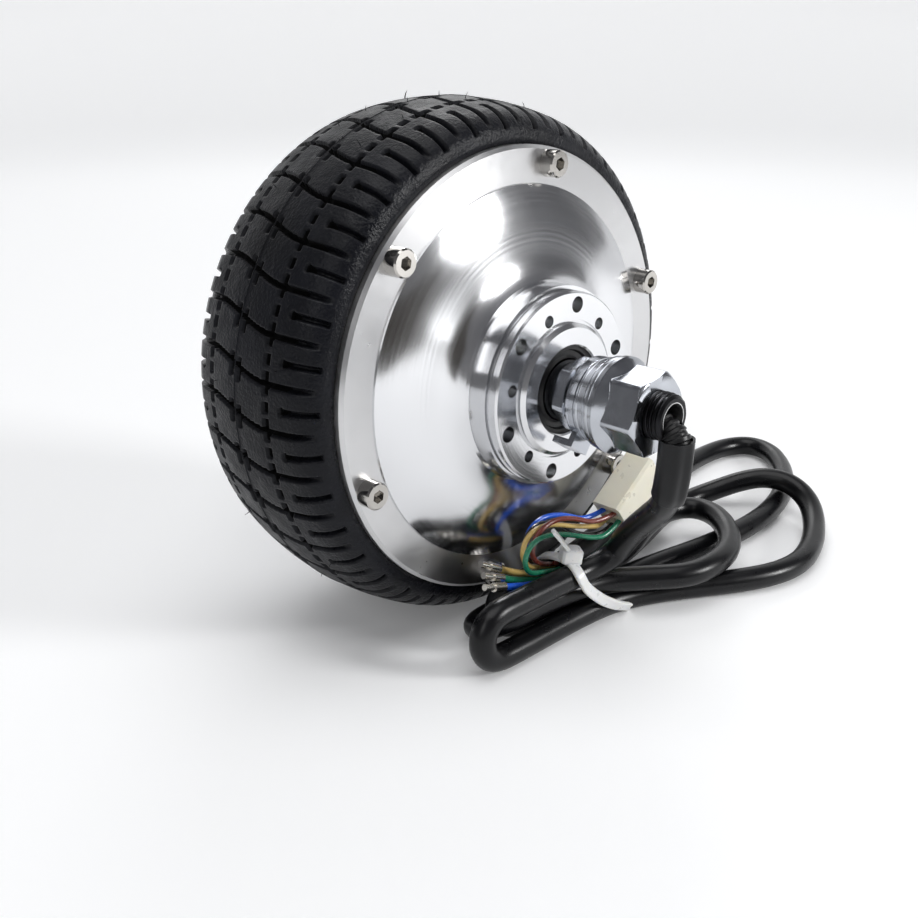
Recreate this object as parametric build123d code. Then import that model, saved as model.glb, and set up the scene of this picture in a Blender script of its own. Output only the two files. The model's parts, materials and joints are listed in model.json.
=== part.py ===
from build123d import *
import os
from math import cos, pi, radians, sin, tan

# A 5.5-inch direct-drive hub motor wheel, in millimetres.
# The origin is the centre of the wheel. The axle lies along Y and +Z is up.
# The brake side, with the disc boss and the cable, faces -Y. The back side faces +Y.
# Stations along the axle are distances from the wheel's middle plane, used on both sides.

BRAKE, BACK = -1, 1

# tyre and rim
tyre_r = 71.0
tyre_half_width = 25.0
tread_edge = (68.9, 17.5)          # radius and station where the crown meets the shoulder
shoulder_mid = (66.6, 22.3)
sidewall_top_r = 61.5
rim_bore_r = 48.5
rim_well_r = 53.0
rim_flange_r = 59.6
rim_flange_inner = 21.0
rim_half_width = 24.6

# side covers
cover_r = 60.0
cover_face = 27.4                  # station of the flat ring that takes the screws
cover_edge_chamfer = 0.9
dome_r = 50.4
dome_start = 27.9
dome_mid = (44.0, 30.0)
dome_inner = (37.2, 31.3)
fillet_mid = (31.0, 32.5)
boss_foot = (27.0, 34.8)
spigot_depth = 2.0
cover_screw_pcd = 111.6
cover_screw_count = 6
screw_r = 2.0
screw_head_r = 3.5
screw_head_height = 4.0
screw_socket_af = 3.0
screw_length = 6.2
rotor_phase = 79.5                 # angle of the first screw and the first disc hole

# disc boss on the brake cover: six M5 threads on 44 mm, and a 35 mm class spigot
boss_r = 26.4
boss_step_r = 25.4
boss_step = 41.4
boss_face = 44.0
disc_pcd = 44.0
disc_hole_r = 2.1
disc_hole_depth = 8.0
small_hole_pcd = 40.0
small_hole_r = 1.6
small_hole_depth = 6.0
spigot_r = 17.4
spigot_front_r = 16.4
spigot_height = 1.6
cover_bore_r = 11.7
back_boss_r = 21.0

# ball bearings, 15 x 32 x 9
bearing_bore_r = 7.5
bearing_outer_r = 16.0
bearing_near = 32.0
bearing_far = 41.0
inner_race_r = 9.9
outer_race_r = 13.6
ball_r = 2.1
ball_pitch_r = 11.75
raceway_r = 2.4
ball_count = 9
cage_half_width = 2.6

# axle
axle_end = 78.0
axle_thread_r = 6.0
axle_journal_r = 7.5
axle_middle_r = 9.0
axle_shoulder = 31.0
axle_thread_start = 41.6
axle_bore_r = 4.0
axle_bore_end = 16.0
wire_window = (6.0, 18.0, 26.0)    # width, and stations of its two ends
cable_slot = (7.6, 74.0)           # width, and station where it starts

# nuts and washers on the axle, as stations
spacer_r = 8.0
inner_nut_af = 17.0
inner_nut = (47.4, 51.4, 54.2)     # hexagon start, hexagon end, face of its flange
inner_nut_flange_r = 10.7
tab_washer = (54.2, 55.9)
tab_washer_r = 10.8
tab_angle = 237.0
tab_width = 7.0
tab_reach_r = 14.2
tab_thickness = 1.7
tab_tip = 49.6
plain_washer = (55.9, 57.4)
spring_washer = (57.4, 59.4)
washer_r = 10.9
outer_washer = (59.4, 61.4)
outer_washer_r = 11.9
axle_nut_af = 19.0
axle_nut = (61.4, 63.2, 66.3, 73.5)  # flange start, flange end, hexagon start, hexagon end
axle_nut_flange_r = 12.3
axle_nut_phase = 11.0
thread_gap = 0.05

# stator and rotor magnetics
stator_half_length = 12.5
hub_half_length = 13.0
stator_bore_r = 24.0
stator_yoke_r = 29.0
stator_r = 41.8
tooth_count = 27
tooth_width = 4.1
tooth_tip = 1.7
slot_opening = 2.0
coil_side = 1.05
coil_end = 3.0
magnet_count = 30
magnet_r = (42.5, 45.35)
magnet_gap = 1.2
magnet_half_length = 13.0
flux_ring_r = (45.4, 48.45)
flux_ring_half_length = 16.0

# motor cable: it leaves the axle's end, drops through a heat-shrink sleeve and joins the hank
floor_z = -tyre_r
cable_r = 3.6
relief_r = 3.7
relief_inner_station = 70.0
relief_bend_station = 74.6
relief_bend_r = 5.0
sleeve_r = 4.25
sleeve_drop = 15.2
lead_points = [
    (0, -79.6, -5.1), (0.4, -79.2, -11.5), (1.6, -77.8, -18.5), (5.0, -73.8, -25), (9.4, -67.4, -31),
    (13.0, -60.6, -37.6), (15.3, -55.0, -44.2), (15.9, -51.2, -50.4), (15.2, -48.6, -56),
]

# hank of the same cable, laid on the floor in loose loops and held by one tie
hank_top = -50.6
hank_loop_top = -56.6
hank_fan_top = -60.4
hank_outline = [
    (-12, -32.5), (20, -29.5), (53, -18.5), (88, -5), (124, 2.6), (146, 4.4), (160, 0.5), (167.3, -9),
    (163, -23), (150, -34), (130, -46), (125, -56), (110, -69), (84, -78), (58, -73), (32, -57.5),
    (16, -52), (-14, -51.8), (-27, -51), (-31, -46), (-29, -37),
]
hank_block_x = (-31.0, 24.0)
hank_block_y = (-52.0, -33.2)
front_loop_outline = [
    (20, -34), (60, -27.5), (80, -29.5), (84.5, -38), (82, -48), (70, -60), (60, -66), (47, -68.5),
    (34, -66), (20, -51.5),
]
tie_x = 8.6
tie_width = 4.6
tie_thickness = 1.2
tie_head = (5.6, 4.8, 5.0)
tie_head_y = -45.6

# wires past the end of the jacket, from its cut face at the notch in the hank
jacket_end = (5.0, -43.2, -60.0)   # corner of the notch that the jacket's end faces
hall_wire_r = 0.75
phase_wire_r = 0.95
terminal_r = 1.3
connector_size = (15.0, 9.6, 19.0)
connector_centre = (35.0, -41.5, -40.5)
connector_tilt = 52.0
contact_pitch = 3.9
hall_wires = {
    "blue": [(4.7, -36.1, -54.7), (-0.5, -35.6, -52.3), (-4.4, -35.5, -47.4), (-3, -35.5, -42),
             (3, -35.6, -39.6), (11, -36.5, -41.2), (18.6, -38.4, -45), (25.3, -39.55, -43.1)],
    "black": [(4.7, -37.4, -53.4), (-1.2, -37.3, -52), (-5.4, -37.3, -49.4), (-7, -37.3, -44.9),
              (-4.4, -37.3, -41), (1.2, -37.3, -40.2), (8.4, -37.4, -43), (14.2, -37.8, -47.6),
              (19.2, -38.7, -49.6), (25.4, -39.55, -50.8), (30.1, -39.55, -49.2)],
    "yellow": [(4.7, -38.6, -54.7), (-3, -38.8, -52.4), (-7.2, -38.9, -50.2), (-9.2, -38.9, -46.2),
               (-7.6, -38.9, -42), (-2.8, -38.9, -40), (4.6, -38.9, -41.4), (12, -39, -44.4),
               (19.6, -39.4, -46.8), (23.6, -39.55, -47.9), (27.7, -39.55, -46.15)],
    "red": [(4.7, -39.7, -53.3), (-2.2, -40.3, -51.6), (-7.4, -40.5, -46.8), (-5.4, -40.5, -40.8),
            (1.6, -40.6, -38.6), (9.6, -40.9, -40.4), (18.4, -42.4, -44.6), (25.3, -43.45, -43.1)],
    "green": [(4.7, -40.9, -54.7), (-4, -41.6, -52.6), (-9.8, -42, -50.5), (-11.7, -42.1, -46.5),
              (-9.8, -42.1, -42.5), (-4.4, -42.1, -41.05), (3, -42.1, -42.9), (10.5, -42.1, -45.9),
              (17.2, -42.8, -48.6), (22.8, -43.45, -49.2), (27.7, -43.45, -46.15)],
}
phase_wires = {
    "yellow": [(11.5, -36.9, -56.6), (4.6, -36.7, -57.2), (-2.6, -36.4, -55.4), (-10.2, -36.2, -52.2),
               (-17.8, -36, -48)],
    "green": [(11.5, -38.6, -57.4), (4.6, -38.6, -57.9), (-2.6, -38.4, -56.6), (-10.4, -38, -53.9),
              (-18.4, -37.8, -50.2)],
    "blue": [(11.5, -40.3, -56.6), (4.6, -40.5, -57), (-3, -40.5, -56.4), (-11.2, -40.4, -54.6),
             (-20.2, -40.2, -51.6)],
}


def revolved(points):
    """Turn a closed outline of (radius, station) points about the axle's line."""
    return revolve(make_face(Polyline(*points, close=True)), Axis.Y)


def side_pt(point, side):
    return (point[0], side * point[1])


def side_points(points, side):
    """Put an outline's stations on the brake side or on the back side."""
    return [side_pt(point, side) for point in points]


def ring(inner_r, outer_r, near, far, side=1):
    """A plain ring about the axle between two stations of one side."""
    corners = [(inner_r, near), (outer_r, near), (outer_r, far), (inner_r, far)]
    return revolved(side_points(corners, side))


def facing(station, side):
    """The plane across the axle at a station, looking outwards on that side."""
    return Plane(origin=(0, side * station, 0), x_dir=(1, 0, 0), z_dir=(0, side, 0))


def upright(angle, radius, side):
    """A place on a facing plane, from its angle above +X towards +Z."""
    return (radius * cos(radians(angle)), -side * radius * sin(radians(angle)))


def bars(sketch, near, far, side):
    """Push a sketch outwards from one station to another."""
    return extrude(facing(near, side) * sketch, amount=far - near)


def hexagon(across_flats, phase=0.0):
    return RegularPolygon(across_flats / 2, 6, major_radius=False, rotation=phase)


def spaced(count, start):
    return [start + 360.0 * i / count for i in range(count)]


def at_angles(shape, angles, radius, side):
    """One sketch with copies of a small one at the given angles on one radius."""
    return Sketch() + [Pos(*upright(a, radius, side)) * shape for a in angles]


def group(shapes, label):
    part = Compound(children=[s for shape in shapes for s in shape.solids()])
    part.label = label
    return part


# ---------------------------------------------------------------- tyre, rim and covers

def make_tyre():
    """Solid rubber tyre with a crowned tread, seated in the rim's well and over its flanges."""
    w = tyre_half_width
    crown = ThreePointArc(side_pt(tread_edge, BRAKE), (tyre_r, 0), side_pt(tread_edge, BACK))
    back = ThreePointArc(side_pt(tread_edge, BACK), side_pt(shoulder_mid, BACK), (sidewall_top_r, w))
    brake = ThreePointArc((sidewall_top_r, -w), side_pt(shoulder_mid, BRAKE), side_pt(tread_edge, BRAKE))
    seat_r, well_r, inner = rim_flange_r + 0.1, rim_well_r + 0.05, rim_flange_inner - 0.05
    inside = Polyline((sidewall_top_r, w), (cover_r + 0.1, w), (cover_r + 0.1, rim_half_width - 0.3),
                      (seat_r, rim_half_width - 0.3), (seat_r, inner), (well_r, inner),
                      (well_r, -inner), (seat_r, -inner), (seat_r, 0.3 - rim_half_width),
                      (cover_r + 0.1, 0.3 - rim_half_width), (cover_r + 0.1, -w), (sidewall_top_r, -w))
    return revolve(make_face([crown, back, inside, brake]), Axis.Y)


def make_rim():
    """Aluminium rim shell: a well for the tyre between two flanges tapped for the cover screws."""
    half = [(rim_bore_r, rim_half_width), (rim_flange_r, rim_half_width),
            (rim_flange_r, rim_flange_inner), (rim_well_r, rim_flange_inner)]
    shell = revolved(half + side_points(half[::-1], BRAKE))
    for side in (BRAKE, BACK):
        taps = at_angles(Circle(screw_r + 0.05), screw_angles(), cover_screw_pcd / 2, side)
        shell -= bars(taps, rim_flange_inner - 1, rim_half_width + 1, side)
    return shell


def screw_angles():
    return spaced(cover_screw_count, rotor_phase)


def cover_outline(side, boss):
    """The cover's section: flange, dome and boss outside; spigot, web and bearing pocket inside."""
    flange = [(cover_r, rim_half_width), (cover_r, cover_face - cover_edge_chamfer),
              (cover_r - cover_edge_chamfer, cover_face), (dome_r + 0.2, cover_face), (dome_r, dome_start)]
    pocket_r = bearing_outer_r + 0.02
    inside = [(cover_bore_r, bearing_far + 0.1), (pocket_r, bearing_far + 0.1),
              (pocket_r, bearing_near - 0.6),
              (19.5, bearing_near - 0.6), (24.0, 30.6), (45.6, 25.2),
              (45.6, rim_half_width - spigot_depth), (48.4, rim_half_width - spigot_depth),
              (48.4, rim_half_width), (cover_r, rim_half_width)]
    sweep_in = side_points([(dome_r, dome_start), dome_mid, dome_inner, fillet_mid, boss_foot], side)
    straight = Polyline(*side_points([boss_foot] + boss + inside, side))
    return make_face([Polyline(*side_points(flange, side)), Spline(*sweep_in), straight])


def make_brake_cover():
    """Brake-side cover with the stepped disc boss, its spigot, and its threaded holes."""
    boss = [(boss_r, 35.5), (boss_r, boss_step - 0.6), (boss_step_r - 0.5, boss_step - 0.6),
            (boss_step_r - 0.5, boss_step), (boss_step_r, boss_step), (boss_step_r, boss_face - 0.5),
            (boss_step_r - 0.5, boss_face), (spigot_r + 0.9, boss_face), (spigot_r + 0.9, boss_face - 0.5),
            (spigot_r, boss_face - 0.5), (spigot_r, boss_face + 0.6),
            (spigot_front_r, boss_face + spigot_height),
            (cover_bore_r + 0.4, boss_face + spigot_height), (cover_bore_r, boss_face + spigot_height - 0.4)]
    cover = revolve(cover_outline(BRAKE, boss), Axis.Y)
    disc_holes = at_angles(Circle(disc_hole_r), spaced(6, rotor_phase), disc_pcd / 2, BRAKE)
    cover -= bars(disc_holes, boss_face - disc_hole_depth, boss_face + 1, BRAKE)
    small_holes = at_angles(Circle(small_hole_r), spaced(6, rotor_phase + 30), small_hole_pcd / 2, BRAKE)
    cover -= bars(small_holes, boss_face - small_hole_depth, boss_face + 1, BRAKE)
    return cover - screw_clearance(BRAKE)


def make_back_cover():
    """Plain cover for the other side, with a smaller boss over its bearing."""
    boss = [(back_boss_r + 2.2, 35.6), (back_boss_r, 36.6), (back_boss_r, boss_face - 0.8),
            (back_boss_r - 0.8, boss_face), (cover_bore_r + 0.5, boss_face), (cover_bore_r, boss_face - 0.5)]
    return revolve(cover_outline(BACK, boss), Axis.Y) - screw_clearance(BACK)


def screw_clearance(side):
    holes = at_angles(Circle(screw_r + 0.25), screw_angles(), cover_screw_pcd / 2, side)
    return bars(holes, rim_half_width - 1, cover_face + 1, side)


def make_cover_screws(side):
    """Six M4 socket head cap screws."""
    under_head, top = cover_face, cover_face + screw_head_height
    screws = []
    for angle in screw_angles():
        place = Pos(*upright(angle, cover_screw_pcd / 2, side))
        head = bars(place * Circle(screw_head_r), under_head, top, side)
        head = chamfer(head.edges().group_by(Axis.Y)[0 if side == BRAKE else -1], 0.4)
        shank = bars(place * Circle(screw_r), under_head - screw_length, under_head, side)
        socket = bars(place * hexagon(screw_socket_af, angle), top - 2.2, top + 1, side)
        screws.append(head + shank - socket)
    return group(screws, "cover_screws")


# ---------------------------------------------------------------- bearings and seals

def raceway(side):
    """The ring-shaped space that the balls roll in."""
    middle = side * (bearing_near + bearing_far) / 2
    return revolve(Pos(ball_pitch_r, middle) * Circle(raceway_r), Axis.Y)


def make_inner_race(side):
    return ring(bearing_bore_r + 0.02, inner_race_r, bearing_near, bearing_far, side) - raceway(side)


def make_outer_race(side):
    return ring(outer_race_r, bearing_outer_r, bearing_near, bearing_far, side) - raceway(side)


def ball_places(side):
    middle = side * (bearing_near + bearing_far) / 2
    angles = spaced(ball_count, 0)
    return [(ball_pitch_r * cos(radians(a)), middle, ball_pitch_r * sin(radians(a))) for a in angles]


def make_balls(side):
    return group([Pos(*p) * Sphere(ball_r) for p in ball_places(side)], "balls")


def make_cage(side):
    """Thin pressed cage with a round pocket for each ball."""
    middle = (bearing_near + bearing_far) / 2
    cage = ring(11.3, 12.2, middle - cage_half_width, middle + cage_half_width, side)
    for angle in spaced(ball_count, 0):
        pocket = Pos(ball_pitch_r, side * middle, 0) * Rot(0, 90, 0) * Cylinder(ball_r + 0.05, 3)
        cage -= Rot(0, -angle, 0) * pocket
    return cage


def make_seal(side):
    """Rubber lip seal pressed in the cover's bore, just clear of the spacer."""
    far = boss_face - 0.6 if side == BACK else boss_face + 0.4
    lip_r = spacer_r + 0.35
    outline = [(cover_bore_r - 0.05, bearing_far + 0.3), (cover_bore_r - 0.05, far), (10.6, far),
               (10.2, far - 0.8), (lip_r + 0.6, far - 0.8), (lip_r, far - 0.3), (lip_r, bearing_far + 0.8),
               (9.4, bearing_far + 0.3)]
    return revolved(side_points(outline, side))


# ---------------------------------------------------------------- axle and its hardware

def make_axle():
    """Stepped steel axle, threaded M12 at both ends, bored on the brake side for the cable."""
    half = [(axle_middle_r, axle_shoulder), (axle_journal_r, axle_shoulder),
            (axle_journal_r, axle_thread_start), (axle_thread_r, axle_thread_start),
            (axle_thread_r, axle_end - 0.8), (axle_thread_r - 0.8, axle_end)]
    axis_ends = [(0, axle_end), (0, -axle_end)]
    axle = revolved(half + axis_ends + side_points(half[::-1], BRAKE))
    axle -= bars(Circle(axle_bore_r), axle_bore_end, axle_end + 1, BRAKE)
    width, near, far = wire_window
    axle -= Pos(0, -(near + far) / 2, 6) * Box(width, far - near, 12)
    slot_width, slot_start = cable_slot
    length = axle_end - slot_start + 1
    return axle - Pos(0, -(slot_start + length / 2), -5) * Box(slot_width, length, 10)


def make_spacer(side):
    return ring(axle_thread_r + thread_gap, spacer_r, axle_thread_start, inner_nut[0], side)


def flanged_nut(across_flats, hex_near, hex_far, flange, cone_r, side, phase):
    """A hexagon with chamfered corners and a coned flange: flange is (near, far, radius)."""
    corner_r = across_flats / 2 / cos(pi / 6)
    near, far, flange_r = flange
    nut = bars(hexagon(across_flats, phase), hex_near, hex_far, side)
    if near >= hex_far:
        trim = [(0, hex_near), (corner_r - 1.3, hex_near), (corner_r + 0.4, hex_near + 1.0),
                (corner_r + 0.4, hex_far), (0, hex_far)]
        skirt = [(0, hex_far - 0.4), (cone_r, hex_far - 0.4), (flange_r, near), (flange_r, far), (0, far)]
    else:
        trim = [(0, hex_near), (corner_r + 0.4, hex_near), (corner_r + 0.4, hex_far - 1.0),
                (corner_r - 1.3, hex_far), (0, hex_far)]
        skirt = [(0, near), (flange_r, near), (flange_r, far), (cone_r, hex_near + 0.4), (0, hex_near + 0.4)]
    nut = nut & revolved(side_points(trim, side))
    nut += revolved(side_points(skirt, side))
    return nut - ring(0, axle_thread_r + thread_gap, min(near, hex_near) - 1, max(far, hex_far) + 1, side)


def make_inner_nut(side):
    near, far, face = inner_nut
    flange = (face - 0.7, face, inner_nut_flange_r)
    return flanged_nut(inner_nut_af, near, far, flange, 8.6, side, axle_nut_phase)


def make_axle_nut(side):
    flange_near, flange_far, hex_near, hex_far = axle_nut
    flange = (flange_near, flange_far, axle_nut_flange_r)
    return flanged_nut(axle_nut_af, hex_near, hex_far, flange, 9.6, side, axle_nut_phase)


def make_tab_washer(side):
    """Anti-rotation washer whose tab is bent back towards the wheel."""
    near, far = tab_washer
    angle = tab_angle if side == BRAKE else -tab_angle
    washer = bars(Circle(tab_washer_r), near, far, side)
    reach = tab_reach_r - 8
    arm = Rot(0, 0, -side * angle) * Pos(8 + reach / 2, 0) * Rectangle(reach, tab_width)
    lip_r = tab_reach_r - tab_thickness / 2
    lip = Rot(0, 0, -side * angle) * Pos(lip_r, 0) * Rectangle(tab_thickness, tab_width)
    washer += bars(arm, near, far, side)
    washer += bars(lip, tab_tip, far, side)
    return washer - ring(0, axle_thread_r + thread_gap, near - 1, far + 1, side)


def make_washer(stations, outer_r, side):
    near, far = stations
    washer = ring(axle_thread_r + thread_gap, outer_r, near, far, side)
    return chamfer(washer.edges().filter_by(GeomType.CIRCLE).group_by(SortBy.RADIUS)[-1], 0.3)


def make_spring_washer(side):
    """Split lock washer with a slanted cut."""
    near, far = spring_washer
    washer = ring(axle_thread_r + thread_gap, washer_r, near, far, side)
    cut = Rot(0, 18, 0) * Box(1.2, 6, 8)
    return washer - Pos(8.5 * cos(radians(100)), side * (near + far) / 2, 8.5 * sin(radians(100))) * cut


# ---------------------------------------------------------------- stator and rotor magnetics

def make_stator_hub():
    """Aluminium carrier with round lightening holes, pressed on the axle's middle."""
    hub = ring(axle_middle_r + 0.02, stator_bore_r - 0.02, -hub_half_length, hub_half_length)
    holes = at_angles(Circle(4.2), spaced(6, 30), 16.5, BACK)
    return hub - bars(holes, -hub_half_length - 1, hub_half_length + 1, BACK)


def make_stator_core():
    """Laminated core: a yoke, and teeth with wide tips at the air gap."""
    angles = spaced(tooth_count, 0)
    core = Circle(stator_yoke_r) - Circle(stator_bore_r)
    tooth_length = stator_r - tooth_tip - stator_yoke_r + 1.5
    tooth_middle = stator_yoke_r - 0.5 + tooth_length / 2
    core += [Rot(0, 0, a) * Pos(tooth_middle, 0) * Rectangle(tooth_length, tooth_width) for a in angles]
    tips = Circle(stator_r) - Circle(stator_r - tooth_tip)
    half_pitch = 180.0 / tooth_count
    tips -= [Rot(0, 0, a + half_pitch) * Pos(stator_r, 0) * Rectangle(8, slot_opening) for a in angles]
    return bars(core + tips, -stator_half_length, stator_half_length, BACK)


def make_windings():
    """One coil for each tooth, proud of the core at both ends."""
    near_r, far_r = stator_yoke_r + 0.4, stator_r - tooth_tip - 0.4
    inner_width, inner_length = tooth_width + 0.1, 2 * stator_half_length + 0.1
    outer_width, outer_length = inner_width + 2 * coil_side, inner_length + 2 * coil_end
    coil = Box(far_r - near_r, outer_length, outer_width) - Box(far_r - near_r + 1, inner_length, inner_width)
    coil = Pos((near_r + far_r) / 2, 0, 0) * coil
    return group([Rot(0, a, 0) * coil for a in spaced(tooth_count, 0)], "windings")


def make_magnets():
    ring_sketch = Circle(magnet_r[1]) - Circle(magnet_r[0])
    gaps = [Rot(0, 0, a) * Pos(magnet_r[1], 0) * Rectangle(10, magnet_gap) for a in spaced(magnet_count, 6)]
    return group([bars(ring_sketch - gaps, -magnet_half_length, magnet_half_length, BACK)], "magnets")


def make_hall_board():
    """Arc-shaped sensor board behind the coil ends, on the brake side."""
    sector = Circle(40.0) - Circle(28.0)
    corners = [(0, 0), upright(52, 60, BRAKE), upright(90, 70, BRAKE), upright(128, 60, BRAKE)]
    return bars(sector & make_face(Polyline(*corners, close=True)), 16.6, 18.2, BRAKE)


def make_hall_sensors():
    chip = Rectangle(4.0, 3.0)
    chips = Sketch() + [Pos(*upright(a, 38.0, BRAKE)) * Rot(0, 0, a) * chip for a in (76.7, 90.0, 103.3)]
    return group([bars(chips, 18.2, 19.6, BRAKE)], "hall_sensors")


# ---------------------------------------------------------------- cable and wires

def cord_path(points):
    """Straight runs joined by the largest tangent arcs that the runs allow."""
    spots = [Vector(*p) for p in points]
    radii = []
    for a, b, c in zip(spots, spots[1:], spots[2:]):
        turn = radians((b - a).get_angle(c - b))
        shorter = min((b - a).length, (c - b).length)
        radii.append(0.45 * shorter / tan(turn / 2))
    return FilletPolyline(*points, radius=radii), radii


def cord_tube(name, points, radius):
    """A round tube along a route, with its radii and its volume check printed."""
    path, radii = cord_path(points)
    tube = sweep(Plane(origin=path @ 0, z_dir=path % 0) * Circle(radius), path=path)
    ratio = tube.volume / (pi * radius ** 2 * path.length)
    print(f"{name}: length {path.length:.1f}, volume ratio {ratio:.4f}, radii", [round(r, 1) for r in radii])
    return tube


def make_strain_relief():
    """Ribbed grommet that turns the cable out of the axle's slot and down."""
    start, bend = -relief_inner_station, -relief_bend_station
    path = FilletPolyline((0, start, 0), (0, bend - relief_bend_r, 0),
                          (0, bend - relief_bend_r, -relief_bend_r - 0.1), radius=relief_bend_r)
    return sweep(Plane(origin=path @ 0, z_dir=path % 0) * Circle(relief_r - 0.1), path=path)


def make_sleeve():
    """Heat-shrink sleeve over the first stretch of the cable."""
    path = cord_path(lead_points[:4])[0]
    start = Plane(origin=path @ 0, z_dir=path % 0)
    sleeve = sweep(start * (Circle(sleeve_r) - Circle(cable_r + 0.05)), path=path)
    return sleeve & Pos(0, -78, lead_points[0][2] - 1 - sleeve_drop / 2) * Box(30, 30, sleeve_drop)


def tie_outline(offset):
    """The strap's rounded outline across the hank, in the plane square to X."""
    width = hank_block_y[1] - hank_block_y[0] + 0.4 + 2 * offset
    height = hank_top - floor_z - 2 * tie_thickness + 2 * offset
    return RectangleRounded(width, height, 6.5 + offset)


def tie_slab(sketch, width):
    middle_y = (hank_block_y[0] + hank_block_y[1]) / 2
    middle_z = (floor_z + hank_top) / 2
    plane = Plane(origin=(tie_x - width / 2, middle_y, middle_z), x_dir=(0, 1, 0), z_dir=(1, 0, 0))
    return extrude(plane * sketch, amount=width)


def make_tie():
    """Nylon cable tie: a strap round the hank, its square head, and its free tail."""
    strap = tie_slab(tie_outline(tie_thickness) - tie_outline(0), tie_width)
    head_z = hank_top + tie_head[2] / 2
    head = Pos(tie_x, tie_head_y, head_z) * fillet(Box(*tie_head).edges(), 0.7)
    tail = Pos(tie_x, tie_head_y, head_z + 0.5) * Rot(0, 38, 0) * Pos(-7.5, 0, 0)
    return strap + head + tail * Box(12, tie_width - 0.8, tie_thickness)


def make_hank():
    """Closed solid of the hank's outer shape: a tied bundle that opens into loose loops."""
    fan = make_face(Spline(*hank_outline, periodic=True))
    hank = extrude(Pos(0, 0, floor_z) * fan, amount=hank_fan_top - floor_z)
    loop = make_face(Polyline(*front_loop_outline, close=True))
    hank += extrude(Pos(0, 0, floor_z) * loop, amount=hank_loop_top - floor_z)
    (x0, x1), (y0, y1) = hank_block_x, hank_block_y
    block = Box(x1 - x0, y1 - y0, hank_top - floor_z)
    block = fillet(block.edges().filter_by(Axis.Z), 6.0)
    block = fillet(block.edges().group_by(Axis.Z)[-1], 3.5)
    hank += Pos((x0 + x1) / 2, (y0 + y1) / 2, (floor_z + hank_top) / 2) * block
    corner_x, corner_y, corner_z = jacket_end
    notch = Pos(corner_x, corner_y, corner_z) * Box(50, 20, 20, align=(Align.MAX, Align.MIN, Align.MIN))
    groove = tie_slab(Rectangle(200, 80), tie_width + 0.1) - tie_slab(tie_outline(-0.05), tie_width + 0.2)
    return hank - groove - notch


def in_connector(shape):
    return Pos(*connector_centre) * Rot(0, connector_tilt, 0) * shape


def connector_cavities():
    """Places of the six cavities across the housing: two rows of three."""
    return [(i * contact_pitch, j * contact_pitch / 2) for i in (-1, 0, 1) for j in (-1, 1)]


def make_connector():
    """Translucent nylon housing with two rows of square cavities and a latch."""
    width, depth, height = connector_size
    body = chamfer(Box(width, depth, height).edges().filter_by(Axis.Z), 0.8)
    for x, y in connector_cavities():
        body -= Pos(x, y, 0) * Box(2.5, 2.7, height + 2)
    latch = Pos(0, depth / 2 + 0.6, 3.0) * Box(5.0, 1.4, 8.0)
    return in_connector(body + latch)


def make_contacts():
    """Crimp contacts, one in each cavity, clear of the wires' ends."""
    length = 9.0
    pins = [Pos(x, y, 2.5) * (Box(1.7, 1.9, length) - Box(1.1, 1.3, length + 1))
            for x, y in connector_cavities()]
    return group([in_connector(pin) for pin in pins], "contacts")


def make_terminals():
    """Bullet terminals crimped on the phase wires."""
    pins = []
    for route in phase_wires.values():
        end, before = Vector(*route[-1]), Vector(*route[-2])
        along = Plane(origin=end, z_dir=end - before)
        barrel = Circle(terminal_r) - Circle(phase_wire_r + 0.03)
        pin = extrude(along * barrel, amount=-3.0) + extrude(along * Circle(terminal_r), amount=1.2)
        tip = extrude(along.offset(1.2) * Circle(terminal_r * 0.7), amount=3.6)
        pins.append(pin + tip)
    return group(pins, "terminals")


# ---------------------------------------------------------------- nodes

def side_nodes():
    """The pieces that both sides of the wheel have."""
    nodes = {}
    for name, side in (("brake", BRAKE), ("back", BACK)):
        nodes[f"{name}_cover_screws"] = make_cover_screws(side)
        nodes[f"{name}_bearing_inner_race"] = make_inner_race(side)
        nodes[f"{name}_bearing_outer_race"] = make_outer_race(side)
        nodes[f"{name}_bearing_balls"] = make_balls(side)
        nodes[f"{name}_bearing_cage"] = make_cage(side)
        nodes[f"{name}_shaft_seal"] = make_seal(side)
        nodes[f"{name}_axle_spacer"] = make_spacer(side)
        nodes[f"{name}_inner_nut"] = make_inner_nut(side)
        nodes[f"{name}_tab_washer"] = make_tab_washer(side)
        nodes[f"{name}_plain_washer"] = make_washer(plain_washer, washer_r, side)
        nodes[f"{name}_spring_washer"] = make_spring_washer(side)
        nodes[f"{name}_outer_washer"] = make_washer(outer_washer, outer_washer_r, side)
        nodes[f"{name}_axle_nut"] = make_axle_nut(side)
    return nodes


def wheel_nodes():
    return {
        "tyre": make_tyre(),
        "rim": make_rim(),
        "brake_cover": make_brake_cover(),
        "back_cover": make_back_cover(),
        "flux_ring": ring(*flux_ring_r, -flux_ring_half_length, flux_ring_half_length),
        "magnets": make_magnets(),
    }


def stator_nodes():
    return {
        "axle": make_axle(),
        "stator_hub": make_stator_hub(),
        "stator_core": make_stator_core(),
        "stator_windings": make_windings(),
        "hall_board": make_hall_board(),
        "hall_sensors": make_hall_sensors(),
    }


def cable_nodes():
    nodes = {
        "strain_relief": make_strain_relief(),
        "heat_shrink_sleeve": make_sleeve(),
        "cable_lead": cord_tube("cable_lead", lead_points, cable_r),
        "cable_hank": make_hank(),
        "cable_tie": make_tie(),
        "phase_terminals": make_terminals(),
        "hall_connector": make_connector(),
        "hall_contacts": make_contacts(),
    }
    for colour, route in hall_wires.items():
        nodes[f"hall_wire_{colour}"] = cord_tube(f"hall_wire_{colour}", route, hall_wire_r)
    for colour, route in phase_wires.items():
        nodes[f"phase_wire_{colour}"] = cord_tube(f"phase_wire_{colour}", route, phase_wire_r)
    return nodes


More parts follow.
